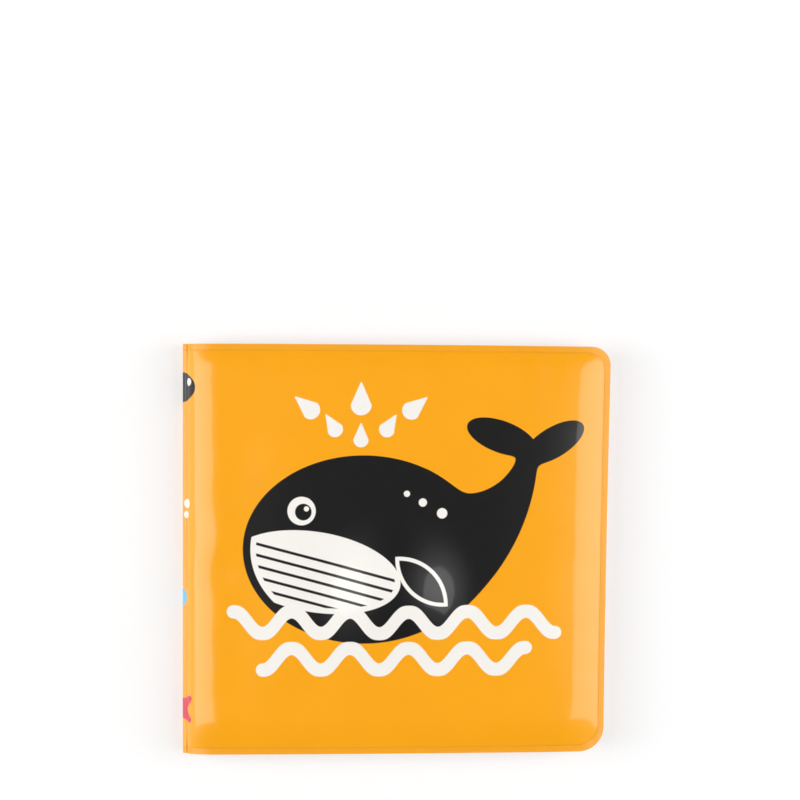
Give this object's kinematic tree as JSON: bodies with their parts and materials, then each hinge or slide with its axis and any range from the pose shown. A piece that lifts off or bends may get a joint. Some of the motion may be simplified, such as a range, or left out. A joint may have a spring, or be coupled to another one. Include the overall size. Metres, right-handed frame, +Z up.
{
  "type": "bath book",
  "caption": "Soft square bath book for babies: padded film leaves welded at one spine, with a press squeaker inside the front cover.",
  "frame": {"origin": "middle of the closed book's footprint, on the surface that its back cover lies on", "axes": "+X from the spine to the free edge, +Y from the foot to the head of the cover, +Z up out of the front cover"},
  "size_m": [0.123, 0.118, 0.0145],
  "materials": {
    "cover_film": "glossy printed soft film",
    "white_page_film": "glossy printed soft film",
    "blue_page_film": "glossy printed soft film",
    "pink_page_film": "glossy printed soft film",
    "foam": "open soft foam sheet",
    "squeaker_plastic": "soft blown plastic",
    "reed_plastic": "moulded plastic",
    "reed_strip": "thin plastic strip"
  },
  "bodies": {
    "back_cover": {"back_cover_outer_film": "cover_film", "back_cover_foam_pad": "foam", "back_cover_inner_film": "white_page_film", "spine_weld": "cover_film"},
    "third_leaf": {"third_leaf_lower_film": "blue_page_film", "third_leaf_foam_pad": "foam", "third_leaf_upper_film": "white_page_film"},
    "second_leaf": {"second_leaf_lower_film": "pink_page_film", "second_leaf_foam_pad": "foam", "second_leaf_upper_film": "blue_page_film"},
    "front_cover": {"front_cover_inner_film": "white_page_film", "front_cover_foam_pad": "foam", "front_cover_outer_film": "cover_film", "squeaker_cup": "squeaker_plastic", "squeaker_reed_holder": "reed_plastic", "squeaker_reed": "reed_strip", "squeaker_reed_clamp": "reed_plastic"},
    "squeaker_dome": {"squeaker_dome": "squeaker_plastic"}
  },
  "joints": [
    {"name": "third_leaf_turn", "type": "hinge", "parent": "back_cover", "child": "third_leaf", "pos_m": [-0.0605, 0, 0.00585], "axis": [0, -1, 0], "range_deg": [0, 180]},
    {"name": "second_leaf_turn", "type": "hinge", "parent": "third_leaf", "child": "second_leaf", "pos_m": [-0.0605, 0, 0.00585], "axis": [0, -1, 0], "range_deg": [0, 180]},
    {"name": "front_cover_turn", "type": "hinge", "parent": "second_leaf", "child": "front_cover", "pos_m": [-0.0605, 0, 0.00585], "axis": [0, -1, 0], "range_deg": [0, 180]},
    {"name": "squeaker_press", "type": "slide", "parent": "front_cover", "child": "squeaker_dome", "axis": [0, 0, -1], "range_m": [0, 0.0016], "stiffness_N_per_m": 1500}
  ]
}
